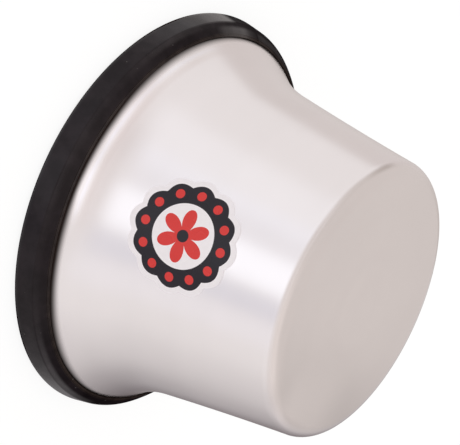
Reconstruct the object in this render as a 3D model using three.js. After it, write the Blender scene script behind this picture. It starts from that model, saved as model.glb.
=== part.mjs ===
// Plunger mute: a spun aluminium cup, a rubber edge trim on its rim and a vinyl label on its wall.
// Millimetres, +Z up. The cup stands mouth down on its trim, its axis is Z and the mouth is at z = 0.
import * as THREE from 'three';

// The cup, spun from one sheet. Radii and heights are those of its outer face
const overallHeight = 90.5;
const sheetThickness = 1.2;
const rimRadius = 71.8;
const skirtLength = 5.1;
const shoulderRadius = 2.5;
const shoulderSlopeDegrees = 44;
const flareRadius = 50.2;
const flareTopSlopeDegrees = 9.65;
const wallBowRadius = 1370;
const endCornerRadius = 4.65;

// The trim, a moulded rubber channel pushed over the rim
const fitGap = 0.3;
const webThickness = 2.3;
const bandThickness = 2.9;
const bandTaperDegrees = 12.3;
const mouthEdgeRadius = 2.5;
const bandEdgeRise = 0.36;
const bandEdgeRadius = 0.45;
const flangeCrown = 0.12;
const flangeGrip = 2.6;
const lipRadius = 0.5;
const grooveWidth = 0.8;
const grooveDepth = 0.25;
const innerLegThickness = 1.8;
const innerLegDrop = 0.7;
const innerEdgeRadius = 1.4;

// The label, a die-cut rosette stuck on the wall
const labelRadius = 19.2;
const labelCentreHeight = 48.6;
const labelThickness = 0.2;
const labelScallopDepth = 1.5;
const labelLobes = 12;

// Fineness of the curves
const turnSteps = 64;
const smallArcSteps = 4;
const wideArcSteps = 8;
const bowSteps = 3;
const stepsPerLobe = 6;
const labelRingShares = [0.28, 0.55, 0.8, 1];

const radians = THREE.MathUtils.degToRad;
const point = (radius, height) => new THREE.Vector2(radius, height);

function onCircle(centre, radius, angle) {
  return point(centre.x + radius * Math.cos(angle), centre.y + radius * Math.sin(angle));
}

// Points on an arc from one angle to another, both ends included.
function arc(centre, radius, from, to, steps) {
  return Array.from({ length: steps + 1 }, (_, i) => onCircle(centre, radius, from + ((to - from) * i) / steps));
}

// A shallow curve between two points that rises to one side by the given height, or sinks if it is negative.
function crowned(start, end, rise, steps) {
  const along = end.clone().sub(start).normalize();
  const middle = start.clone().lerp(end, 1 / 2).addScaledVector(point(along.y, -along.x), 2 * rise);
  return new THREE.QuadraticBezierCurve(start, middle, end).getPoints(steps);
}

// The rounding of the corner at a point between its two neighbours.
function roundedCorner(before, at, after, radius, steps) {
  const back = before.clone().sub(at).normalize();
  const onward = after.clone().sub(at).normalize();
  const halfAngle = Math.acos(back.dot(onward)) / 2;
  const inward = back.clone().add(onward).normalize();
  const centre = at.clone().addScaledVector(inward, radius / Math.sin(halfAngle));
  const middle = inward.clone().negate().angle();
  const sweep = Math.PI / 2 - halfAngle;
  return arc(centre, radius, middle - sweep, middle + sweep, steps);
}

// The cup's outer face is a chain of tangent arcs from the rim up, with slopes measured from the vertical.
// Faces at another depth in the sheet, and the trim's slot, keep the same centres.
const shoulderSlope = radians(shoulderSlopeDegrees);
const flareTopSlope = radians(flareTopSlopeDegrees);
const rimEdgeHeight = webThickness + fitGap;
const skirtTop = rimEdgeHeight + skirtLength;
const shoulderCentre = point(rimRadius - shoulderRadius, skirtTop);
const flareCentre = onCircle(shoulderCentre, shoulderRadius + flareRadius, shoulderSlope);
const flareTop = onCircle(flareCentre, flareRadius, Math.PI + flareTopSlope);
const bowCentre = onCircle(flareTop, wallBowRadius, flareTopSlope);
const endCornerReach = wallBowRadius + endCornerRadius;
const endSlope = Math.asin((bowCentre.y - overallHeight + endCornerRadius) / endCornerReach);
const endCornerCentre = onCircle(bowCentre, endCornerReach, Math.PI + endSlope);

const shoulderArc = (depth) => arc(shoulderCentre, shoulderRadius - depth, 0, shoulderSlope, smallArcSteps);

function flareArc(depth, fromSlope, toSlope, steps) {
  return arc(flareCentre, flareRadius + depth, Math.PI + fromSlope, Math.PI + toSlope, steps);
}

function sheetFace(depth) {
  return [
    ...shoulderArc(depth),
    ...flareArc(depth, shoulderSlope, flareTopSlope, wideArcSteps).slice(1),
    ...arc(bowCentre, wallBowRadius + depth, Math.PI + flareTopSlope, Math.PI + endSlope, bowSteps).slice(1),
    ...arc(endCornerCentre, endCornerRadius - depth, endSlope, Math.PI / 2, smallArcSteps + 2).slice(1),
  ];
}

// Radius of the outer face at a height on the flare or on the wall above it.
function wallRadius(height) {
  const [centre, radius] = height > flareTop.y ? [bowCentre, wallBowRadius] : [flareCentre, flareRadius];
  return centre.x - Math.sqrt(radius ** 2 - (centre.y - height) ** 2);
}

// The cup's section: the inner face down to a rounded rim edge, and the outer face back up to the closed end.
function cupSection() {
  const edgeRadius = sheetThickness / 2;
  const edgeCentre = point(rimRadius - edgeRadius, rimEdgeHeight + edgeRadius);
  return [
    point(0, overallHeight - sheetThickness),
    ...sheetFace(sheetThickness).reverse(),
    ...arc(edgeCentre, edgeRadius, Math.PI, 2 * Math.PI, smallArcSteps),
    ...sheetFace(0),
    point(0, overallHeight),
  ];
}

// The trim's section: a web below the rim, an outer leg that ends in a lip bead on the flare, and an inner
// leg. The band is the face round the outside, and the flange slopes from its top edge to the lip.
function trimSection() {
  const outerRadius = rimRadius + fitGap + bandThickness;
  const slotInnerRadius = rimRadius - sheetThickness - fitGap;
  const innerRadius = slotInnerRadius - innerLegThickness;

  const innerEdgeCentre = point(innerRadius + innerEdgeRadius, innerEdgeRadius);
  const innerEdge = arc(innerEdgeCentre, innerEdgeRadius, Math.PI, (3 * Math.PI) / 2, smallArcSteps);

  const taper = radians(bandTaperDegrees);
  const mouthEdgeCentre = point(outerRadius - mouthEdgeRadius, mouthEdgeRadius);
  const mouthEdge = arc(mouthEdgeCentre, mouthEdgeRadius, -Math.PI / 2, taper, smallArcSteps + 1);
  const bandStart = mouthEdge.at(-1);
  const bandTopHeight = skirtTop + bandEdgeRise;
  const bandTop = point(bandStart.x - (bandTopHeight - bandStart.y) * Math.tan(taper), bandTopHeight);

  const lipSlope = shoulderSlope - flangeGrip / flareRadius;
  const lipCentre = onCircle(flareCentre, flareRadius - fitGap - lipRadius, Math.PI + lipSlope);
  const flangeAlong = lipCentre.clone().sub(bandTop).normalize();
  const lipStartAngle = point(flangeAlong.y, -flangeAlong.x).angle();
  const lip = arc(lipCentre, lipRadius, lipStartAngle, Math.PI + lipSlope, 2 * smallArcSteps);
  const grooveStart = lip[0].clone().addScaledVector(flangeAlong, -grooveWidth);

  const bandEdge = roundedCorner(bandStart, bandTop, grooveStart, bandEdgeRadius, smallArcSteps - 1);
  const flange = crowned(bandEdge.at(-1), grooveStart, flangeCrown, smallArcSteps);
  const groove = crowned(grooveStart, lip[0], -grooveDepth, smallArcSteps);

  const legTopRadius = innerLegThickness / 2;
  const legTopCentre = point(innerRadius + legTopRadius, skirtTop - innerLegDrop - legTopRadius);
  return [
    ...innerEdge,
    ...mouthEdge,
    ...bandEdge,
    ...flange.slice(1),
    ...groove.slice(1),
    ...lip.slice(1),
    ...flareArc(-fitGap, lipSlope, shoulderSlope, 2).slice(1),
    ...shoulderArc(-fitGap).reverse().slice(1),
    point(rimRadius + fitGap, webThickness),
    point(slotInnerRadius, webThickness),
    ...arc(legTopCentre, legTopRadius, 0, Math.PI, smallArcSteps + 1),
    innerEdge[0],
  ];
}

// A section turned about the Z axis.
function turned(section) {
  return new THREE.LatheGeometry(section, turnSteps).rotateX(Math.PI / 2);
}

// A place on the label as it lies on the wall, from its flat place across and up from its centre.
function onWall(across, up, out) {
  const height = labelCentreHeight + up;
  const wall = wallRadius(height);
  const turn = across / wall - Math.PI / 2;
  const radius = wall + fitGap + out;
  return [radius * Math.cos(turn), radius * Math.sin(turn), height];
}

// Distance from the label's centre to its scalloped edge.
function labelEdge(angle) {
  return labelRadius - labelScallopDepth * (1 - Math.abs(Math.cos((labelLobes * angle) / 2)));
}

// The label's back and front are grids of rings and spokes that bend with the wall, closed by its edge.
function labelGeometry() {
  const spokes = labelLobes * stepsPerLobe;
  const rings = labelRingShares.length;
  const layerSize = 1 + rings * spokes;
  const places = [];
  for (const out of [0, labelThickness]) {
    places.push(...onWall(0, 0, out));
    for (const share of labelRingShares) {
      for (let i = 0; i < spokes; i++) {
        const angle = (2 * Math.PI * i) / spokes;
        const reach = share * labelEdge(angle);
        places.push(...onWall(reach * Math.cos(angle), reach * Math.sin(angle), out));
      }
    }
  }
  const back = (ring, i) => 1 + ring * spokes + (i % spokes);
  const front = (ring, i) => layerSize + back(ring, i);
  const faces = [];
  for (let i = 0; i < spokes; i++) {
    faces.push(0, back(0, i + 1), back(0, i), layerSize, front(0, i), front(0, i + 1));
    for (let ring = 1; ring < rings; ring++) {
      faces.push(back(ring - 1, i), back(ring - 1, i + 1), back(ring, i));
      faces.push(back(ring - 1, i + 1), back(ring, i + 1), back(ring, i));
      faces.push(front(ring - 1, i), front(ring, i), front(ring - 1, i + 1));
      faces.push(front(ring - 1, i + 1), front(ring, i), front(ring, i + 1));
    }
    const edge = rings - 1;
    faces.push(back(edge, i), back(edge, i + 1), front(edge, i));
    faces.push(back(edge, i + 1), front(edge, i + 1), front(edge, i));
  }
  const geometry = new THREE.BufferGeometry();
  geometry.setAttribute('position', new THREE.Float32BufferAttribute(places, 3));
  geometry.setIndex(faces);
  geometry.computeVertexNormals();
  return geometry;
}

function named(name, geometry, material) {
  const mesh = new THREE.Mesh(geometry, new THREE.MeshStandardMaterial(material));
  mesh.name = name;
  return mesh;
}

const plungerMute = new THREE.Group();
plungerMute.add(
  named('cup_shell', turned(cupSection()), { color: 0xe4dcda, roughness: 0.28, metalness: 1 }),
  named('rim_trim', turned(trimSection()), { color: 0x2c292b, roughness: 0.55, metalness: 0 }),
  named('wall_label', labelGeometry(), { color: 0xf1eeec, roughness: 0.35, metalness: 0 }),
);

export default plungerMute;
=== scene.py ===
"""Plunger mute, in metres: a spun aluminium cup, the rubber trim on its rim and the label on its wall."""

import math

import bpy
from bpy.props import FloatProperty, FloatVectorProperty, IntProperty, PointerProperty
from mathutils import Matrix, Vector
from mathutils.geometry import delaunay_2d_cdt


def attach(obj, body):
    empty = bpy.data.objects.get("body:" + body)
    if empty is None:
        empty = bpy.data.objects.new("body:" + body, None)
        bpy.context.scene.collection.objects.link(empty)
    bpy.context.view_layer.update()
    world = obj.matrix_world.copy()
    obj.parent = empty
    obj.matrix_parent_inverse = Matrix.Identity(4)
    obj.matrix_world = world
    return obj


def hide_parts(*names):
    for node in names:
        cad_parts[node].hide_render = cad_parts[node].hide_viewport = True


bl_info = {
    "name": "Plunger mute",
    "version": (1, 0, 0),
    "blender": (4, 5, 0),
    "location": "View3D > Sidebar > Mute",
    "description": "Makes a spun aluminium plunger mute with its rubber trim and label",
    "category": "Object",
}

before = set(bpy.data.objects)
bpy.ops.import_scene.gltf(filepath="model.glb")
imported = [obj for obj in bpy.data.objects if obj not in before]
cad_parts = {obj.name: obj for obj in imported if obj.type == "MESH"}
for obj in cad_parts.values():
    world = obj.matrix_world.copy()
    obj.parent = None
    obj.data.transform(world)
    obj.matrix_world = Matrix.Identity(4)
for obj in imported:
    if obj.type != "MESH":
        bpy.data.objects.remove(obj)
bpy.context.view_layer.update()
MM = 0.001


# Sizes and colours


def length_setting(name, millimetres, description):
    return FloatProperty(
        name=name, description=description, default=millimetres * MM, min=0.0, unit="LENGTH", precision=5
    )


def angle_setting(name, degrees, description):
    return FloatProperty(name=name, description=description, default=math.radians(degrees), subtype="ANGLE")


def colour_setting(name, value, description):
    return FloatVectorProperty(
        name=name, description=description, default=value, min=0.0, max=1.0, size=3, subtype="COLOR"
    )


def share_setting(name, value, description):
    return FloatProperty(name=name, description=description, default=value, min=0.0, subtype="FACTOR")


def place_setting(name, value, description):
    return FloatVectorProperty(name=name, description=description, default=value, subtype="XYZ")


class MuteCupSizes(bpy.types.PropertyGroup):
    overall_height: length_setting("Height", 90.5, "From the table to the closed end")
    sheet: length_setting("Sheet", 1.2, "Thickness of the aluminium")
    rim_radius: length_setting("Rim radius", 71.8, "Radius of the turned-down rim")
    skirt_length: length_setting("Skirt", 5.1, "Length of the turned-down rim")
    shoulder_radius: length_setting("Shoulder", 2.5, "Radius of the turn into the rim")
    shoulder_slope: angle_setting("Shoulder slope", 44, "Slope where the shoulder meets the flare")
    flare_radius: length_setting("Flare", 50.2, "Radius of the hollow curve above the rim")
    flare_top_slope: angle_setting("Flare top slope", 9.65, "Slope where the flare meets the wall")
    wall_bow_radius: length_setting("Wall bow", 1370, "Radius of the slight bow of the wall")
    end_corner_radius: length_setting("End corner", 6.0, "Radius of the corner round the closed end")


class MuteTrimSizes(bpy.types.PropertyGroup):
    seat: length_setting("Seat", 0.3, "Room between the web and the rim's edge")
    grip: length_setting("Grip", 0.03, "Room between the rubber and the sheet where it grips")
    web: length_setting("Web", 2.3, "Thickness below the rim's edge")
    band: length_setting("Band", 2.9, "Thickness of the outer leg")
    band_taper: angle_setting("Band taper", 12.3, "Lean of the band towards the cup")
    mouth_edge: length_setting("Mouth edge", 2.5, "Radius of the outer lower edge")
    band_edge_rise: length_setting("Band edge rise", 0.36, "How far the band reaches above the skirt")
    band_edge: length_setting("Band edge", 0.45, "Radius of the edge between the band and the flange")
    flange_crown: length_setting("Flange crown", 0.12, "How far the flange bulges")
    flange_grip: length_setting("Flange grip", 2.6, "How far the lip reaches along the flare")
    lip: length_setting("Lip", 0.4, "Radius of the bead at the lip")
    groove_width: length_setting("Groove width", 0.7, "Width of the groove beside the lip")
    groove_depth: length_setting("Groove depth", 0.25, "Depth of the groove beside the lip")
    inner_leg: length_setting("Inner leg", 1.8, "Thickness of the inner leg")
    inner_leg_drop: length_setting("Inner leg drop", 0.7, "How far it ends below the skirt's top")
    inner_edge: length_setting("Inner edge", 1.4, "Radius of the inner lower edge")


class MuteLabelSizes(bpy.types.PropertyGroup):
    radius: length_setting("Radius", 19.2, "Reach of the die-cut edge")
    centre_height: length_setting("Height", 48.6, "Height of its centre on the wall")
    thickness: length_setting("Thickness", 0.22, "Thickness of the vinyl")
    scallop: length_setting("Scallop", 1.5, "Depth of the scallops")
    lobes: IntProperty(name="Lobes", description="Scallops round the edge", default=12, min=3)
    border: length_setting("Border", 1.9, "Width of the white border")
    disc_ring: length_setting("Disc ring", 13.9, "Radius of the ring of red discs")
    disc: length_setting("Disc", 1.55, "Radius of each red disc")
    field: length_setting("Field", 10.6, "Radius of the white field in the middle")
    petals: IntProperty(name="Petals", description="Petals of the flower", default=6, min=3)
    petal: length_setting("Petal", 8.9, "Reach of the petals")
    eye: length_setting("Eye", 2.0, "Radius of the black eye of the flower")


class MuteFinishes(bpy.types.PropertyGroup):
    aluminium: colour_setting("Aluminium", (0.790, 0.729, 0.724), "The satin face outside")
    spun_inside: colour_setting("Aluminium inside", (0.700, 0.665, 0.650), "The duller face inside")
    rubber: colour_setting("Rubber", (0.0102, 0.0072, 0.0086), "The moulded trim")
    white_vinyl: colour_setting("White vinyl", (0.925, 0.872, 0.889), "The label's ground")
    black_print: colour_setting("Black print", (0.0105, 0.0060, 0.0112), "The label's ring and eye")
    red_print: colour_setting("Red print", (0.705, 0.0420, 0.037), "The label's discs and petals")
    floor: colour_setting("Floor", (0.900, 0.900, 0.900), "The floor")


class MuteStudio(bpy.types.PropertyGroup):
    camera_place: place_setting("Camera", (-0.036079, -0.463580, 0.305413), "Place of the camera")
    camera_aim: place_setting("Aim", (-0.007014, -0.006510, 0.033453), "Point that the camera looks at")
    camera_roll: angle_setting("Roll", 114.46, "Turn of the camera about its own line of sight")
    lens: FloatProperty(name="Lens", description="Focal length in millimetres", default=119.25, min=1.0)
    floor_width: length_setting("Floor", 6000, "Width of the floor")
    collar: length_setting("Collar", 95, "Radius of the grey collar that reflections show above the mute")
    collar_height: length_setting("Collar height", 142.5, "How far the collar rises over the closed end")
    floor_hole: length_setting("Floor opening", 68.6, "Radius of the opening under the mute, for light")
    shadow: share_setting("Shadow", 0.22, "How much of the floor's own shade the camera sees")


# Sections, as lists of (radius, height)


SAME_POINT = 1e-7  # two points closer together than this are one


def on_circle(centre, radius, angle):
    return Vector((centre[0] + radius * math.cos(angle), centre[1] + radius * math.sin(angle)))


def arc(centre, radius, start, end, steps):
    return [on_circle(centre, radius, start + (end - start) * i / steps) for i in range(steps + 1)]


def straight(start, end, steps):
    return [start.lerp(end, i / steps) for i in range(steps + 1)]


def crowned(start, end, rise, steps):
    """A shallow curve between two points that rises to its right by the given height."""
    along = (end - start).normalized()
    middle = (start + end) / 2 + Vector((along.y, -along.x)) * 2 * rise
    shares = [i / steps for i in range(steps + 1)]
    return [start * (1 - t) ** 2 + middle * 2 * t * (1 - t) + end * t**2 for t in shares]


def rounded_corner(before, at, after, radius, steps):
    back, onward = (before - at).normalized(), (after - at).normalized()
    half = math.acos(back.dot(onward)) / 2
    inward = (back + onward).normalized()
    centre = at + inward * radius / math.sin(half)
    middle = math.atan2(-inward.y, -inward.x)
    sweep = math.pi / 2 - half
    return arc(centre, radius, middle - sweep, middle + sweep, steps)


def joined(*runs):
    """The runs as one line, without the points that two neighbours share."""
    line = []
    for run in runs:
        line += [p for p in run if not line or (p - line[-1]).length > SAME_POINT]
    return line


class CupShape:
    """The cup's section as a chain of tangent arcs, which the trim and the label follow too."""

    def __init__(self, cup, trim):
        self.cup = cup
        self.rim_edge = trim.web + trim.seat
        self.skirt_top = self.rim_edge + cup.skirt_length
        self.shoulder = Vector((cup.rim_radius - cup.shoulder_radius, self.skirt_top))
        self.flare = on_circle(self.shoulder, cup.shoulder_radius + cup.flare_radius, cup.shoulder_slope)
        self.flare_top = on_circle(self.flare, cup.flare_radius, math.pi + cup.flare_top_slope)
        self.bow = on_circle(self.flare_top, cup.wall_bow_radius, cup.flare_top_slope)
        reach = cup.wall_bow_radius + cup.end_corner_radius
        self.end_slope = math.asin((self.bow.y - cup.overall_height + cup.end_corner_radius) / reach)
        self.end_corner = on_circle(self.bow, reach, math.pi + self.end_slope)

    def shoulder_arc(self, depth, steps=10):
        return arc(self.shoulder, self.cup.shoulder_radius - depth, 0, self.cup.shoulder_slope, steps)

    def flare_arc(self, depth, low, high, steps):
        return arc(self.flare, self.cup.flare_radius + depth, math.pi + low, math.pi + high, steps)

    def lip_slope(self, trim):
        return self.cup.shoulder_slope - trim.flange_grip / self.cup.flare_radius

    def lip_contact(self, trim):
        return on_circle(self.flare, self.cup.flare_radius, math.pi + self.lip_slope(trim))

    def face(self, depth):
        """The sheet's face at a depth below its outer one, from the shoulder up to the closed end."""
        cup = self.cup
        bow = cup.wall_bow_radius + depth
        return joined(
            self.shoulder_arc(depth),
            self.flare_arc(depth, cup.shoulder_slope, cup.flare_top_slope, steps=44),
            arc(self.bow, bow, math.pi + cup.flare_top_slope, math.pi + self.end_slope, steps=30),
            arc(self.end_corner, cup.end_corner_radius - depth, self.end_slope, math.pi / 2, steps=28),
        )

    def end_disc(self, height, steps=24, crowding=1.6):
        """Points of the flat end from its edge in to the axis, closer together near the edge."""
        edge = self.end_corner.x
        return [Vector((edge * (1 - (i / steps) ** crowding), height)) for i in range(steps + 1)]

    def wall_radius(self, height):
        """The outer face's radius at a height, on the flare or on the wall above it."""
        centre, radius = self.flare, self.cup.flare_radius
        if height > self.flare_top.y:
            centre, radius = self.bow, self.cup.wall_bow_radius
        return centre.x - math.sqrt(radius**2 - (centre.y - height) ** 2)


# Meshes


TURNED_STEPS = 288  # steps round the axis of a turned piece
STAGE_STEPS = 96  # steps round the floor's opening and the collar
SHARP_ANGLE = math.radians(40)  # an edge that bends by more than this stays sharp


def made_object(name, vertices, faces, materials, face_materials=None):
    mesh = bpy.data.meshes.new(name)
    mesh.from_pydata([tuple(v) for v in vertices], [], faces)
    for material in materials:
        mesh.materials.append(material)
    if face_materials:
        mesh.polygons.foreach_set("material_index", face_materials)
    mesh.polygons.foreach_set("use_smooth", [True] * len(mesh.polygons))
    mesh.set_sharp_from_angle(angle=SHARP_ANGLE)
    if mesh.validate():
        raise RuntimeError(f"the mesh of {name} had faults")
    piece = bpy.data.objects.new(name, mesh)
    bpy.context.scene.collection.objects.link(piece)
    return piece


def turned(section, closed):
    """Vertices and faces of a section turned about Z, and the row of the section that each face lies in.

    An open section starts and ends on the axis."""
    steps = TURNED_STEPS
    poles = [] if closed else [section[0], section[-1]]
    rings = section if closed else section[1:-1]
    vertices = [
        (p.x * math.cos(a), p.x * math.sin(a), p.y)
        for p in rings
        for a in (2 * math.pi * i / steps for i in range(steps))
    ]
    faces, face_rows = [], []
    for row in range(len(rings) if closed else len(rings) - 1):
        low, high = row * steps, (row + 1) % len(rings) * steps
        for i in range(steps):
            j = (i + 1) % steps
            faces.append((low + i, low + j, high + j, high + i))
            face_rows.append(row)
    for pole, ring, row in zip(poles, (0, len(rings) - 1), (-1, len(rings) - 1)):
        vertices.append((0, 0, pole.y))
        for i in range(steps):
            j = (i + 1) % steps
            ends = (ring * steps + j, ring * steps + i)
            faces.append((*(ends if ring == 0 else ends[::-1]), len(vertices) - 1))
            face_rows.append(row)
    return vertices, faces, face_rows


def strip_round(name, first, second, material):
    """A strip between two circles about Z, each given as its radius and height."""
    angles = [2 * math.pi * i / STAGE_STEPS for i in range(STAGE_STEPS)]
    vertices = [(r * math.cos(a), r * math.sin(a), height) for r, height in (first, second) for a in angles]
    faces = []
    for i in range(STAGE_STEPS):
        j = (i + 1) % STAGE_STEPS
        faces.append((i, j, STAGE_STEPS + j, STAGE_STEPS + i))
    return made_object(name, vertices, faces, [material])


def carried(piece, node):
    """The piece rides on the part's one body and stands in for its CAD node, which it hides."""
    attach(piece, "root")
    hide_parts(node)


# Shaders


class Number:
    """A number in a shader. An expression on it adds the Math nodes that it needs."""

    def __init__(self, shader, socket):
        self.shader, self.socket = shader, socket

    def math(self, operation, *others):
        return self.shader.math(operation, self, *others)

    def __add__(self, other):
        return self.math("ADD", other)

    def __sub__(self, other):
        return self.math("SUBTRACT", other)

    def __rsub__(self, other):
        return self.shader.math("SUBTRACT", other, self)

    def __mul__(self, other):
        return self.math("MULTIPLY", other)

    def __truediv__(self, other):
        return self.math("DIVIDE", other)

    def __pow__(self, other):
        return self.math("POWER", other)

    __radd__ = __add__
    __rmul__ = __mul__


class Shader:
    """The nodes of one material or of the world."""

    def __init__(self, owner):
        owner.use_nodes = True
        self.tree = owner.node_tree
        self.tree.nodes.clear()

    def node(self, kind, settings=None, inputs=None):
        """Adds a node: its settings first, then its sockets' values or links, by name or number."""
        made = self.tree.nodes.new(kind)
        for name, value in (settings or {}).items():
            if name == "stops":
                ramp = made.color_ramp.elements
                while len(ramp) > 1:
                    ramp.remove(ramp[-1])
                for i, (place, shade) in enumerate(value):
                    stop = ramp[0] if i == 0 else ramp.new(place)
                    stop.position, stop.color = place, (*shade, 1.0)
            else:
                setattr(made, name, value)
        for key, value in (inputs or {}).items():
            socket = made.inputs[key]
            value = value.socket if isinstance(value, Number) else value
            if isinstance(value, bpy.types.NodeSocket):
                self.tree.links.new(value, socket)
            elif socket.type == "RGBA" and len(value) == 3:
                socket.default_value = (*value, 1.0)
            else:
                socket.default_value = value
        return made

    def number(self, kind, settings=None, inputs=None):
        """The first output of a new node, as a number."""
        return Number(self, self.node(kind, settings, inputs).outputs[0])

    def math(self, operation, *values):
        return self.number("ShaderNodeMath", {"operation": operation}, dict(enumerate(values)))

    def place(self):
        """Where a point lies on its object, in metres."""
        return self.node("ShaderNodeTexCoord").outputs["Object"]

    def xyz(self, vector):
        parts = self.node("ShaderNodeSeparateXYZ", None, {0: vector}).outputs
        return [Number(self, part) for part in parts]

    def smooth(self, value, low, high):
        """0 below low, 1 above high and a soft step between them."""
        inputs = {"Value": value, "From Min": low, "From Max": high}
        return self.number("ShaderNodeMapRange", {"interpolation_type": "SMOOTHSTEP"}, inputs)

    def below(self, value, low, high):
        """1 below low, 0 above high and a soft step between them."""
        return 1 - self.smooth(value, low, high)

    def band(self, value, start, full, fading, end):
        """1 from full to fading, 0 before start and after end, and soft steps between them."""
        return self.smooth(value, start, full) * self.below(value, fading, end)

    def between(self, value, low, high, soft):
        """1 from low to high and 0 outside. The soft steps are centred on them and as wide as given."""
        half = soft / 2
        return self.band(value, low - half, low + half, high - half, high + half)

    def noise(self, vector, scale, detail=2.0, roughness=0.5, dimensions="3D"):
        """Clouds about 0.5, as many to the metre as the scale says. In one dimension they are bands."""
        source = "W" if dimensions == "1D" else "Vector"
        inputs = {source: vector, "Scale": scale, "Detail": detail, "Roughness": roughness}
        return self.number("ShaderNodeTexNoise", {"noise_dimensions": dimensions}, inputs)

    def round_axis(self, x, y, stops):
        """Three numbers that change round the Z axis, given at angles in degrees from +X."""
        turn = y.math("ARCTAN2", x) / (2 * math.pi) + 0.5
        places = [((angle + 180) / 360, numbers) for angle, numbers in stops]
        ramp = self.node("ShaderNodeValToRGB", {"stops": places}, {0: turn})
        parts = self.node("ShaderNodeSeparateColor", None, {0: ramp.outputs[0]}).outputs
        return [Number(self, part) for part in parts]

    def mix(self, factor, first, second):
        """The first colour at factor 0, the second at 1."""
        inputs = {0: factor, 6: first, 7: second}
        return self.node("ShaderNodeMix", {"data_type": "RGBA"}, inputs).outputs[2]

    def bumped(self, relief):
        """The direction that the surface faces once it is raised by the relief, in metres."""
        inputs = {"Strength": 1.0, "Distance": 1.0, "Height": relief}
        return self.node("ShaderNodeBump", None, inputs).outputs[0]

    def finished(self, kind, inputs):
        """A surface or background shader, joined to the output."""
        surface = self.node(kind, None, inputs)
        output = "ShaderNodeOutputWorld" if kind == "ShaderNodeBackground" else "ShaderNodeOutputMaterial"
        self.node(output, None, {"Surface": surface.outputs[0]})


def scaled(colour, shares):
    """The colour with each of its channels times a share of its own."""
    return tuple(channel * share for channel, share in zip(colour, shares))


def tones(colour, low, high):
    """A darker and a paler tone of the colour."""
    return tuple(c * low for c in colour), tuple(min(1.0, c * high) for c in colour)


# Painted shade on the metal beside the rubber, for its dark reflection, by angle: the heights above the
# lip, in millimetres, where it starts to clear and where it ends, and the strength of the painted lines
# above it
PAINTED_LIP_SHADE = [
    (-180, (-0.60, 2.00, 0.0)),
    (-160, (-0.30, 2.30, 0.0)),
    (-145, (-0.22, 2.60, 0.9)),
    (-130, (-0.02, 2.75, 0.6)),
    (-112, (0.47, 2.50, 0.9)),
    (-90, (0.55, 2.08, 1.0)),
    (-80, (0.55, 2.85, 0.1)),
    (-70, (0.60, 2.80, 0.0)),
    (-55, (0.38, 2.95, 0.0)),
    (-40, (0.05, 2.98, 0.0)),
    (-25, (-0.05, 2.65, 0.0)),
    (-10, (-0.35, 1.80, 0.0)),
    (5, (-1.20, 0.00, 0.0)),
    (40, (-0.60, 1.20, 0.0)),
    (150, (-0.60, 1.60, 0.0)),
    (180, (-0.60, 2.00, 0.0)),
]
# Colour of the painted shade beside the lip
PAINTED_LIP_SHADE_COLOUR = (0.020, 0.014, 0.012)
# A ramp holds numbers from 0 to 1, so it gets these heights as shares of a reach above a lowest one
PAINTED_SHADE_LOW, PAINTED_SHADE_REACH = -1.5, 4.5

# Polish of the rubber by angle, from dull at 0 to glossy at 1: on the band, on the outer half of the
# flange and on its inner half
POLISH = [
    (-180, (0.05, 0.05, 0.05)),
    (-175, (0.05, 0.08, 0.30)),
    (-172, (0.08, 0.12, 1.00)),
    (-170, (0.08, 0.14, 1.00)),
    (-167, (1.00, 0.18, 1.00)),
    (-163, (1.00, 0.24, 0.85)),
    (-159, (1.00, 0.30, 0.26)),
    (-150, (0.74, 0.46, 0.20)),
    (-140, (0.65, 0.80, 0.22)),
    (-130, (0.40, 0.58, 0.34)),
    (-119, (0.42, 0.42, 0.38)),
    (-108, (0.48, 0.60, 0.52)),
    (-90, (0.46, 0.62, 0.50)),
    (-70, (0.37, 0.34, 0.30)),
    (-60, (0.36, 0.44, 0.38)),
    (-50, (0.36, 0.46, 0.30)),
    (-40, (0.40, 0.74, 0.12)),
    (-30, (0.66, 1.00, 0.06)),
    (-20, (1.00, 1.00, 0.04)),
    (-12, (1.00, 0.60, 0.00)),
    (-4, (1.00, 0.00, 0.00)),
    (12, (0.45, 0.02, 0.00)),
    (40, (0.40, 0.25, 0.10)),
    (125, (0.40, 0.25, 0.10)),
    (150, (0.25, 0.00, 0.00)),
    (180, (0.05, 0.05, 0.20)),
]


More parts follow.
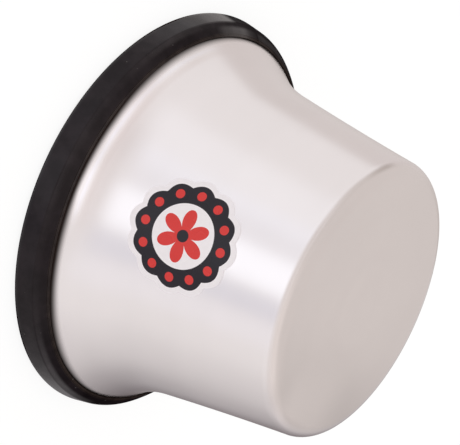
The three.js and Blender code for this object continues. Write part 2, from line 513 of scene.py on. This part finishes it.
def marked_outside(s, x, y, z, face, colour, lip, bend):
    """The outer face with its painted light and shade, and how clear it is of the painted shade by the lip.

    Painted shade lies beside the rubber's lip for its dark reflection, with a painted highlight line and a
    painted shade line above it. A faint brown line of painted dark reflection lies above the bend into the
    closed end, and a painted highlight makes the wall brighter high up towards +X."""
    # Millimetres from here on
    above_lip, above_bend = (z - lip) / MM, (z - bend) / MM
    x, y, z = x / MM, y / MM, z / MM
    stops = [
        (angle, ((low - PAINTED_SHADE_LOW) / PAINTED_SHADE_REACH, (high - PAINTED_SHADE_LOW) / PAINTED_SHADE_REACH, painted_line_strength))
        for angle, (low, high, painted_line_strength) in PAINTED_LIP_SHADE
    ]
    start, end, painted_line_strength = s.round_axis(x, y, stops)
    # Painted shade beside the lip, clearing between the heights listed for each angle
    clear_of_shade = s.smooth((above_lip - PAINTED_SHADE_LOW) / PAINTED_SHADE_REACH, start, end)
    face = s.mix(clear_of_shade, PAINTED_LIP_SHADE_COLOUR, face)
    # A painted highlight line and a painted shade line above the lip, standing for reflections
    painted_highlight_line = s.band(above_lip, 2.2, 2.9, 3.0, 3.9) * painted_line_strength
    painted_shade_line = s.band(above_lip, 3.6, 4.5, 4.8, 6.4) * painted_line_strength
    # A faint brown line of painted dark reflection above the bend into the closed end, strongest on a short
    # stretch towards -X
    strongest_reflection = s.band(y, -32, -22, -20, -13) * s.below(x, -30, -20)
    painted_brown_reflection = s.band(above_bend, 1.1, 2.1, 2.4, 3.6) * (0.15 + strongest_reflection * 0.85)
    # A painted highlight: the wall is brighter high up towards +X
    painted_highlight_side = s.smooth(x, 18, 42) * s.smooth(z, 42, 66) * s.band(y, -34, -20, -4, 18)
    for mark, change in (
        (painted_highlight_line, (1.03, 1.05, 1.09)),
        (painted_shade_line, (0.95, 0.93, 0.92)),
        (painted_brown_reflection, (0.75, 0.73, 0.71)),
        (painted_highlight_side, (1.14, 1.14, 1.14)),
    ):
        face = s.mix(mark, face, scaled(colour, change))
    return face, clear_of_shade


def spun_metal(name, colour, roughness, ring_pitch, ring_height, smudge, lip=None, bend=None):
    """Spun aluminium. Its rings run round the Z axis, at every place of the section.

    The outer face is given the heights of the rubber's lip and of the bend into the closed end, where its
    painted shade and highlights lie."""
    material = bpy.data.materials.new(name)
    s = Shader(material)
    place = s.place()
    x, y, z = s.xyz(place)
    run = z - (x * x + y * y) ** 0.5
    rings = s.noise(run, 1 / ring_pitch, detail=3.0, roughness=0.6, dimensions="1D")
    broad_rings = s.noise(run, 1 / (24 * ring_pitch), dimensions="1D")
    clouds = s.noise(place, 38, detail=3.0, roughness=0.55)
    grain = s.noise(place, 5200, detail=1.0)
    handled = s.smooth(s.noise(place, 90, detail=4.0, roughness=0.62), 0.52, 0.74) * smudge
    tone = 0.5 + (clouds - 0.5) * 0.9 + (broad_rings - 0.5) * 0.5 + (rings - 0.5) * 0.35 - handled * 0.3
    face = s.mix(tone, *tones(colour, 0.972, 1.028))
    shine = roughness + (clouds - 0.5) * 0.05 + (rings - 0.5) * 0.03 + handled * 0.08
    # The outer face gets painted shade and painted highlights, and is rougher under the painted shade
    if lip:
        face, clear_of_shade = marked_outside(s, x, y, z, face, colour, lip, bend)
        shine = shine + (1 - clear_of_shade) * 0.2
    inputs = {
        "Base Color": face,
        "Metallic": 1.0,
        "Roughness": shine,
        "Normal": s.bumped(rings * ring_height + grain * (ring_height * 0.5)),
    }
    s.finished("ShaderNodeBsdfPrincipled", inputs)
    return material


# Colour of the painted highlight along the rubber's lip
LIP_HIGHLIGHT_COLOUR = (0.036, 0.026, 0.0225)
DUST_COLOUR = (0.16, 0.15, 0.145)


def moulded_rubber(name, colour, band_height, lip_height):
    """Black rubber with a faint moulded grain, a little dust and a painted highlight along the lip.

    Its polish differs round the band and the flange, between the heights given."""
    material = bpy.data.materials.new(name)
    s = Shader(material)
    place = s.place()
    x, y, z = s.xyz(place)
    clouds = s.noise(place, 75, detail=4.0, roughness=0.65)
    patches = s.noise(place, 240)
    grain = s.noise(place, 2600, roughness=0.6)
    specks = {"Vector": place, "Scale": 300.0, "Randomness": 1.0}
    dust = 1 - s.smooth(s.number("ShaderNodeTexVoronoi", {"feature": "F1"}, specks), 0.05, 0.09)
    dust = dust * s.smooth(s.noise(place, 120, detail=1.0), 0.53, 0.6)
    worn = s.smooth(clouds * 0.6 + patches * 0.4, 0.36, 0.64)
    body = s.mix(worn, *tones(colour, 0.75, 1.3))
    # A painted highlight along the edge of the lip, where its bead catches the light
    lip = s.smooth(z, lip_height - 0.05 * MM, lip_height + 0.25 * MM)
    body = s.mix(lip * (0.35 + worn * 0.65), body, LIP_HIGHLIGHT_COLOUR)
    body = s.mix(dust * 0.7, body, DUST_COLOUR)
    inputs = {
        "Base Color": body,
        "Roughness": 0.20 + (clouds - 0.5) * 0.15 + dust * 0.3,
        "IOR": 1.5,
        "Specular Tint": (1.0, 0.90, 0.92),
        "Normal": s.bumped(grain * (0.003 * MM) + clouds * (0.01 * MM)),
    }
    glossy = s.node("ShaderNodeBsdfPrincipled", None, inputs)
    dull = s.node("ShaderNodeBsdfDiffuse", None, {"Color": body})
    band, outer_half, inner_half = s.round_axis(x, y, POLISH)
    on_flange = s.smooth(z, band_height + 0.1 * MM, band_height + 0.6 * MM)
    middle = (band_height + lip_height) / 2
    past_middle = s.smooth(z, middle - 0.6 * MM, middle + 0.6 * MM)
    polish = band + (outer_half - band) * on_flange + (inner_half - outer_half) * past_middle * on_flange
    polish = polish * (0.9 + worn * 0.15)
    s.finished("ShaderNodeMixShader", {0: polish, 1: dull.outputs[0], 2: glossy.outputs[0]})
    return material


def printed_vinyl(name, colour):
    """Vinyl with a semi-gloss face. Print and ground differ in colour alone."""
    material = bpy.data.materials.new(name)
    s = Shader(material)
    place = s.place()
    weave = s.noise(place, 900)
    clouds = s.noise(place, 140)
    inputs = {
        "Base Color": s.mix(0.5 + (weave - 0.5) * 0.8, *tones(colour, 0.96, 1.04)),
        "Roughness": 0.28 + (clouds - 0.5) * 0.1,
        "Specular IOR Level": 0.32,
        "Normal": s.bumped(clouds * (0.01 * MM) + weave * (0.001 * MM)),
    }
    s.finished("ShaderNodeBsdfPrincipled", inputs)
    return material


# Pieces


class MUTE_OT_make_cup(bpy.types.Operator):
    """Turns the aluminium cup"""

    bl_idname = "mute.make_cup"
    bl_label = "Make the cup"

    def execute(self, context):
        scene = context.scene
        cup, finishes = scene.mute_cup, scene.mute_finishes
        shape = CupShape(cup, scene.mute_trim)
        edge = cup.sheet / 2
        edge_centre = Vector((cup.rim_radius - edge, shape.rim_edge + edge))
        inner_end = shape.end_disc(cup.overall_height - cup.sheet)[::-1]
        inner = joined(inner_end, shape.face(cup.sheet)[::-1])
        rim_edge = arc(edge_centre, edge, math.pi, 2 * math.pi, steps=12)
        outer = joined(shape.face(0), shape.end_disc(cup.overall_height))
        section = joined(inner, rim_edge, outer)
        vertices, faces, rows = turned(section, closed=False)
        inside_rows = len(inner)
        outside = spun_metal(
            "satin aluminium",
            finishes.aluminium,
            roughness=0.23,
            ring_pitch=0.42 * MM,
            ring_height=0.0006 * MM,
            smudge=0.35,
            lip=shape.lip_contact(scene.mute_trim).y,
            bend=shape.end_corner.y + cup.end_corner_radius * math.sin(shape.end_slope),
        )
        inside = spun_metal(
            "spun aluminium inside",
            finishes.spun_inside,
            roughness=0.36,
            ring_pitch=0.85 * MM,
            ring_height=0.004 * MM,
            smudge=0.8,
        )
        indices = [1 if row < inside_rows else 0 for row in rows]
        piece = made_object("cup", vertices, faces, [outside, inside], indices)
        carried(piece, "cup_shell")
        return {"FINISHED"}


class MUTE_OT_make_trim(bpy.types.Operator):
    """Turns the rubber trim that grips the rim"""

    bl_idname = "mute.make_trim"
    bl_label = "Make the trim"

    def execute(self, context):
        scene = context.scene
        cup, trim = scene.mute_cup, scene.mute_trim
        shape = CupShape(cup, trim)
        outer = cup.rim_radius + trim.seat + trim.band
        slot_inner = cup.rim_radius - cup.sheet - trim.seat
        inner = slot_inner - trim.inner_leg
        edge_centre = Vector((inner + trim.inner_edge, trim.inner_edge))
        inner_edge = arc(edge_centre, trim.inner_edge, math.pi, 1.5 * math.pi, steps=12)
        mouth_centre = Vector((outer - trim.mouth_edge, trim.mouth_edge))
        mouth_edge = arc(mouth_centre, trim.mouth_edge, -math.pi / 2, trim.band_taper, steps=20)
        band_start = mouth_edge[-1]
        band_height = shape.skirt_top + trim.band_edge_rise
        lean = (band_height - band_start.y) * math.tan(trim.band_taper)
        band_top = Vector((band_start.x - lean, band_height))

        lip_slope = shape.lip_slope(trim)
        lip_centre = on_circle(shape.flare, cup.flare_radius - trim.grip - trim.lip, math.pi + lip_slope)
        along = (lip_centre - band_top).normalized()
        lip_start = math.atan2(-along.x, along.y)
        lip = arc(lip_centre, trim.lip, lip_start, math.pi + lip_slope, steps=18)
        groove_start = lip[0] - along * trim.groove_width
        band_edge = rounded_corner(band_start, band_top, groove_start, trim.band_edge, steps=8)
        leg_top = trim.inner_leg / 2
        leg_centre = Vector((inner + leg_top, shape.skirt_top - trim.inner_leg_drop - leg_top))
        section = joined(
            inner_edge,
            mouth_edge,
            straight(band_start, band_edge[0], steps=6),
            band_edge,
            crowned(band_edge[-1], groove_start, trim.flange_crown, steps=10),
            crowned(groove_start, lip[0], -trim.groove_depth, steps=10),
            lip,
            shape.flare_arc(-trim.grip, lip_slope, cup.shoulder_slope, steps=6),
            shape.shoulder_arc(-trim.grip, steps=8)[::-1],
            [Vector((cup.rim_radius + trim.grip, trim.web)), Vector((slot_inner, trim.web))],
            arc(leg_centre, leg_top, 0, math.pi, steps=14),
        )
        vertices, faces, _rows = turned(section, closed=True)
        lip_height = shape.lip_contact(trim).y
        rubber = moulded_rubber("moulded rubber", scene.mute_finishes.rubber, band_height, lip_height)
        piece = made_object("trim", vertices, faces, [rubber])
        carried(piece, "rim_trim")
        return {"FINISHED"}


WHITE, BLACK, RED = range(3)  # the label's inks, in the order of its materials
# How far the flower reaches between two petals, as a share of a petal, and the power that rounds them
PETAL_WAIST, PETAL_FULLNESS = 0.34, 0.8
# The points all over the label: how far apart they are, and how far they keep from its cut edge
GRID_PITCH, GRID_CLEARANCE = 1.3 * MM, 0.6 * MM
LABEL_GAP = 0.01 * MM  # room between the vinyl and the wall


def scalloped(reach, depth, lobes, angle):
    """Distance from the centre to an edge of round lobes."""
    return reach - depth * (1 - abs(math.cos(lobes * angle / 2)))


def outline(edge, steps, centre=(0.0, 0.0)):
    """Points round a centre, at the distance that edge gives for each angle."""
    angles = [2 * math.pi * i / steps for i in range(steps)]
    return [Vector((centre[0] + edge(a) * math.cos(a), centre[1] + edge(a) * math.sin(a))) for a in angles]


class LabelDesign:
    """The rosette's outlines, and which ink lies where."""

    def __init__(self, sizes):
        self.sizes = sizes
        turns = [2 * math.pi * i / sizes.lobes for i in range(sizes.lobes)]
        self.discs = [Vector((sizes.disc_ring * math.cos(a), sizes.disc_ring * math.sin(a))) for a in turns]

    def cut_edge(self, angle):
        return scalloped(self.sizes.radius, self.sizes.scallop, self.sizes.lobes, angle)

    def print_edge(self, angle):
        return self.cut_edge(angle) - self.sizes.border

    def petal_edge(self, angle):
        wave = abs(math.cos(self.sizes.petals * angle / 2))
        return self.sizes.petal * (PETAL_WAIST + (1 - PETAL_WAIST) * wave**PETAL_FULLNESS)

    def outlines(self):
        sizes = self.sizes
        return [
            outline(self.cut_edge, steps=sizes.lobes * 20),
            outline(self.print_edge, steps=sizes.lobes * 16),
            outline(lambda a: sizes.field, steps=120),
            outline(self.petal_edge, steps=sizes.petals * 28),
            outline(lambda a: sizes.eye, steps=40),
            *[outline(lambda a: sizes.disc, steps=28, centre=centre) for centre in self.discs],
        ]

    def ink_at(self, p):
        sizes, distance, angle = self.sizes, p.length, math.atan2(p.y, p.x)
        if distance < sizes.eye:
            return BLACK
        if distance < self.petal_edge(angle):
            return RED
        if distance < sizes.field:
            return WHITE
        if min((p - centre).length for centre in self.discs) < sizes.disc:
            return RED
        return BLACK if distance < self.print_edge(angle) else WHITE

    def holds(self, p, clearance=0.0):
        """Whether a point lies inside the die-cut edge, and as far from it as the clearance."""
        return p.length < self.cut_edge(math.atan2(p.y, p.x)) - clearance


class MUTE_OT_make_label(bpy.types.Operator):
    """Lays the printed label on the wall"""

    bl_idname = "mute.make_label"
    bl_label = "Make the label"

    def execute(self, context):
        scene = context.scene
        sizes, finishes = scene.mute_label, scene.mute_finishes
        shape = CupShape(scene.mute_cup, scene.mute_trim)
        design = LabelDesign(sizes)
        points, edges = [], []
        for line in design.outlines():
            first = len(points)
            points += line
            edges += [(first + i, first + (i + 1) % len(line)) for i in range(len(line))]
        count = int(sizes.radius / GRID_PITCH) + 1
        marks = [i * GRID_PITCH for i in range(-count, count + 1)]
        grid = [Vector((px, py)) for px in marks for py in marks]
        points += [p for p in grid if design.holds(p, GRID_CLEARANCE)]
        flat, _, triangles, *_ = delaunay_2d_cdt(points, edges, [], 0, SAME_POINT)
        if not triangles:
            raise RuntimeError("the label's outline could not be filled")
        keep, inks = [], []
        for corners in triangles:
            middle = sum((flat[i] for i in corners), Vector((0, 0))) / len(corners)
            if design.holds(middle):
                keep.append(tuple(corners))
                inks.append(design.ink_at(middle))
        used = sorted({i for corners in keep for i in corners})
        number = {old: new for new, old in enumerate(used)}
        keep = [tuple(number[i] for i in corners) for corners in keep]

        def on_wall(p, out):
            height = sizes.centre_height + p.y
            wall = shape.wall_radius(height)
            angle = p.x / wall - math.pi / 2
            return ((wall + out) * math.cos(angle), (wall + out) * math.sin(angle), height)

        back = [on_wall(flat[i], LABEL_GAP) for i in used]
        front = [on_wall(flat[i], sizes.thickness) for i in used]
        count = len(used)
        sides = {side: True for a, b, c in keep for side in ((a, b), (b, c), (c, a))}
        rim = [side for side in sides if side[::-1] not in sides]
        faces = [(count + a, count + b, count + c) for a, b, c in keep]
        faces += [(a, c, b) for a, b, c in keep]
        faces += [(a, b, count + b, count + a) for a, b in rim]
        indices = inks + [WHITE] * (len(keep) + len(rim))
        materials = [
            printed_vinyl("white vinyl", finishes.white_vinyl),
            printed_vinyl("black print", finishes.black_print),
            printed_vinyl("red print", finishes.red_print),
        ]
        piece = made_object("label", back + front, faces, materials, indices)
        carried(piece, "wall_label")
        return {"FINISHED"}


# Studio


GREY_ABOVE = (-0.242, -0.273, -0.300)  # what the ceiling takes from white


def surround(world):
    """Light from all round: white, with grey above and behind, dusk on the right and a window in front.

    Directions are an azimuth in degrees, 0 towards -Y and 90 towards +X, and an elevation. Each field adds
    its own red, green and blue to the white."""
    s = Shader(world)
    below, between = s.below, s.between
    x, y, z = s.xyz(s.node("ShaderNodeTexCoord").outputs["Generated"])
    azimuth = x.math("ARCTAN2", 0 - y) * math.degrees(1)
    elevation = z.math("ARCSINE") * math.degrees(1)
    # The azimuth again, but from -90 on to 270
    around = azimuth + azimuth.math("LESS_THAN", -90) * 360
    # The ceiling's edge comes lower to the left and to the right
    left_fall = ((-30 - azimuth) * 0.33).math("MINIMUM", (-48 - azimuth) * 0.6).math("MAXIMUM", 0)
    right_fall = (azimuth - 60).math("MAXIMUM", 0) * 0.20
    ceiling = s.smooth(elevation + left_fall + right_fall, 31, 50)
    under_ceiling = 1 - ceiling
    # A height that leans back, along which the strip over the window runs
    leaning = z * 0.956 + y * 0.292
    over_window = s.smooth(leaning, 0.300, 0.345)
    dusk = ((around - 70) / 82).math("MAXIMUM", 0).math("MINIMUM", 1) - s.smooth(around, 152, 206)
    fields = [
        # Grey behind on the left
        (below(azimuth, -119, -113) * under_ceiling, (-0.220, -0.255, -0.270)),
        (below(azimuth, -172, -138) * under_ceiling, (-0.050, -0.055, -0.060)),
        # Dusk on the right and behind
        (dusk * below(elevation, -4, 44), (-0.59, -0.61, -0.60)),
        (between(azimuth, 85, 135, 45) * s.smooth(elevation, 5, 20) * under_ceiling, (-0.09, -0.10, -0.09)),
        (between(azimuth, 118, 157, 24) * between(elevation, -24, 2, 14), (-0.14, -0.14, -0.14)),
        # The pale wall in front on the left, and the window beside it
        (between(azimuth, -66, -26, 16) * below(elevation, 8, 26), (0.10, 0.12, 0.14)),
        (between(azimuth, -37, -10, 10) * below(elevation, 4, 20), (0.03, 0.05, 0.09)),
        (between(azimuth, -9.5, 16.5, 8) * below(elevation, 12, 24), (0.31, 0.37, 0.43)),
        (between(azimuth, -84, -30, 16) * between(elevation, 32.5, 44, 5), (0.12, 0.12, 0.14)),
        (between(azimuth, -46, -26, 14) * between(elevation, 12, 29, 8), (-0.07, -0.08, -0.08)),
        # A warm grey frame on the window's right, a pale wall past it and a grey bar over them all
        (between(azimuth, 20, 35, 8) * below(elevation, 16, 28), (-0.12, -0.10, -0.03)),
        (between(azimuth, 37, 55, 12) * below(elevation, 20, 34), (0.05, 0.06, 0.09)),
        (between(azimuth, -74, 24, 20) * between(elevation, 24, 32, 8), (-0.15, -0.20, -0.215)),
        # Grey low down, behind and on the right
        (between(around, 138, 178, 14) * between(elevation, -22, -6, 8), (-0.055, -0.055, -0.055)),
        (between(around, 153, 185, 10) * between(elevation, -28, -8, 8), (-0.040, -0.045, -0.050)),
        (between(azimuth, 60, 92, 12) * between(elevation, -22, -12, 8), (-0.025, -0.025, -0.025)),
        (s.band(around, 138, 158, 168, 196) * below(elevation, -25, -15), (-0.13, -0.13, -0.13)),
        # The bright strip over the window
        (over_window * below(leaning, 0.380, 0.412) * between(azimuth, -95, 22, 16), (0.42, 0.46, 0.50)),
        (over_window * below(leaning, 0.410, 0.440) * between(azimuth, -12, 18, 6), (0.42, 0.45, 0.49)),
        (ceiling, GREY_ABOVE),
        # Nearly black far down behind
        (s.smooth(y, 0.2, 0.4) * below(elevation, -42, -34), (-0.85, -0.85, -0.85)),
    ]
    light = s.node("ShaderNodeCombineXYZ", None, {0: 1.0, 1: 1.0, 2: 1.0}).outputs[0]
    for mask, gain in fields:
        inputs = {0: mask, 1: gain, 2: light}
        light = s.node("ShaderNodeVectorMath", {"operation": "MULTIPLY_ADD"}, inputs).outputs[0]
    seen = s.node("ShaderNodeLightPath").outputs["Is Camera Ray"]
    s.finished("ShaderNodeBackground", {"Color": s.mix(seen, light, (1.0, 1.0, 1.0))})


def collar_cloth(name, low):
    """Grey light in the ceiling's tone, which fades in above a height.

    It is darker behind on the right and paler in front, and its lower edge is thickest on the left."""
    material = bpy.data.materials.new(name)
    s = Shader(material)
    x, y, z = s.xyz(s.place())
    # Millimetres from here on
    x, y, up = x / MM, y / MM, (z - low) / MM
    ceiling = tuple(1 + c for c in GREY_ABOVE)
    darker, paler = tones(ceiling, 0.66, 1.22)
    depth = 0.85 - s.smooth(up, 30, 46) * 0.42 - s.smooth(up, 50, 120) * 0.28
    dark = s.smooth(x, 15, 60) * s.smooth(y, 0, 40) * depth
    lit = s.below(y, -40, 0) * s.below(up, 45, 105) * s.smooth(x, -60, 50)
    tone = s.mix(lit, s.mix(dark, ceiling, darker), paler)
    grey = s.node("ShaderNodeEmission", None, {"Color": tone, "Strength": 1.0})
    thin_right = s.smooth(x, -35, 35) * 0.28
    thin_front = s.below(y, -65, 0) * s.smooth(x, -90, -60) * 0.42
    edge = 0.78 - thin_right.math("MAXIMUM", thin_front)
    thick = s.smooth(up, 0, 12) * edge + s.smooth(up, 10, 44) * (1 - edge)
    left = s.below(x, -96, -70) * s.smooth(up, -4, 12)
    thick = thick + (1 - thick) * left
    clear = s.node("ShaderNodeBsdfTransparent")
    s.finished("ShaderNodeMixShader", {0: thick, 1: clear.outputs[0], 2: grey.outputs[0]})
    return material


def floor_paint(name, colour, shadow):
    """Pale paint. The camera sees most of it as plain white, and its underside not at all."""
    material = bpy.data.materials.new(name)
    s = Shader(material)
    shade = s.mix(s.noise(s.place(), 6), *tones(colour, 0.99, 1.01))
    paint = s.node("ShaderNodeBsdfDiffuse", None, {"Color": shade})
    white = s.node("ShaderNodeEmission", None, {"Color": (1.0, 1.0, 1.0), "Strength": 1.1})
    path = s.node("ShaderNodeLightPath")
    seen = Number(s, path.outputs["Is Camera Ray"]) * (1 - shadow)
    top = s.node("ShaderNodeMixShader", None, {0: seen, 1: paint.outputs[0], 2: white.outputs[0]})
    below = s.node("ShaderNodeNewGeometry").outputs["Backfacing"]
    clear = s.node("ShaderNodeBsdfTransparent")
    s.finished("ShaderNodeMixShader", {0: below, 1: top.outputs[0], 2: clear.outputs[0]})
    return material


class MUTE_OT_make_stage(bpy.types.Operator):
    """Sets up the camera, the floor and the light"""

    bl_idname = "mute.make_stage"
    bl_label = "Make the stage"

    def execute(self, context):
        scene = context.scene
        studio = scene.mute_studio
        camera = bpy.data.objects.new("camera", bpy.data.cameras.new("camera"))
        scene.collection.objects.link(camera)
        place, aim = Vector(studio.camera_place), Vector(studio.camera_aim)
        back = (place - aim).normalized()
        level = Vector((0, 0, 1)).cross(back).normalized()
        upright = back.cross(level)
        right = level * math.cos(studio.camera_roll) + upright * math.sin(studio.camera_roll)
        axes = Matrix((right, back.cross(right), back)).transposed()
        camera.matrix_world = Matrix.Translation(place) @ axes.to_4x4()
        camera.data.lens = studio.lens
        camera.data.sensor_width = 36.0
        camera.data.clip_start, camera.data.clip_end = 0.01, 50.0
        scene.camera = camera

        paint = floor_paint("floor paint", scene.mute_finishes.floor, studio.shadow)
        floor = strip_round("floor", (studio.floor_width / 2, 0.0), (studio.floor_hole, 0.0), paint)
        floor.visible_glossy = False

        low = scene.mute_cup.overall_height
        high = low + studio.collar_height
        cloth = collar_cloth("grey cloth", low + 2 * MM)
        collar = strip_round("collar", (studio.collar, low), (studio.collar, high), cloth)
        collar.visible_camera = collar.visible_diffuse = collar.visible_shadow = False
        collar.visible_transmission = collar.visible_volume_scatter = False

        scene.world = bpy.data.worlds.new("studio")
        surround(scene.world)
        scene.view_settings.view_transform = "Standard"
        return {"FINISHED"}


class MUTE_PT_sidebar(bpy.types.Panel):
    bl_label = "Plunger mute"
    bl_idname = "MUTE_PT_sidebar"
    bl_space_type = "VIEW_3D"
    bl_region_type = "UI"
    bl_category = "Mute"

    def draw(self, context):
        for operator in OPERATORS:
            self.layout.operator(operator.bl_idname)
        for name in GROUPS:
            group = getattr(context.scene, name)
            box = self.layout.box()
            for key in group.bl_rna.properties.keys():
                if key not in ("name", "rna_type"):
                    box.prop(group, key)


GROUPS = {
    "mute_cup": MuteCupSizes,
    "mute_trim": MuteTrimSizes,
    "mute_label": MuteLabelSizes,
    "mute_finishes": MuteFinishes,
    "mute_studio": MuteStudio,
}
OPERATORS = (MUTE_OT_make_stage, MUTE_OT_make_cup, MUTE_OT_make_trim, MUTE_OT_make_label)


def register():
    for made in (*GROUPS.values(), *OPERATORS, MUTE_PT_sidebar):
        bpy.utils.register_class(made)
    for name, group in GROUPS.items():
        setattr(bpy.types.Scene, name, PointerProperty(type=group))


def unregister():
    for name in GROUPS:
        delattr(bpy.types.Scene, name)
    for made in reversed((*GROUPS.values(), *OPERATORS, MUTE_PT_sidebar)):
        bpy.utils.unregister_class(made)


def main():
    register()
    bpy.ops.mute.make_stage()
    bpy.ops.mute.make_cup()
    bpy.ops.mute.make_trim()
    bpy.ops.mute.make_label()


if __name__ == "__main__":
    main()
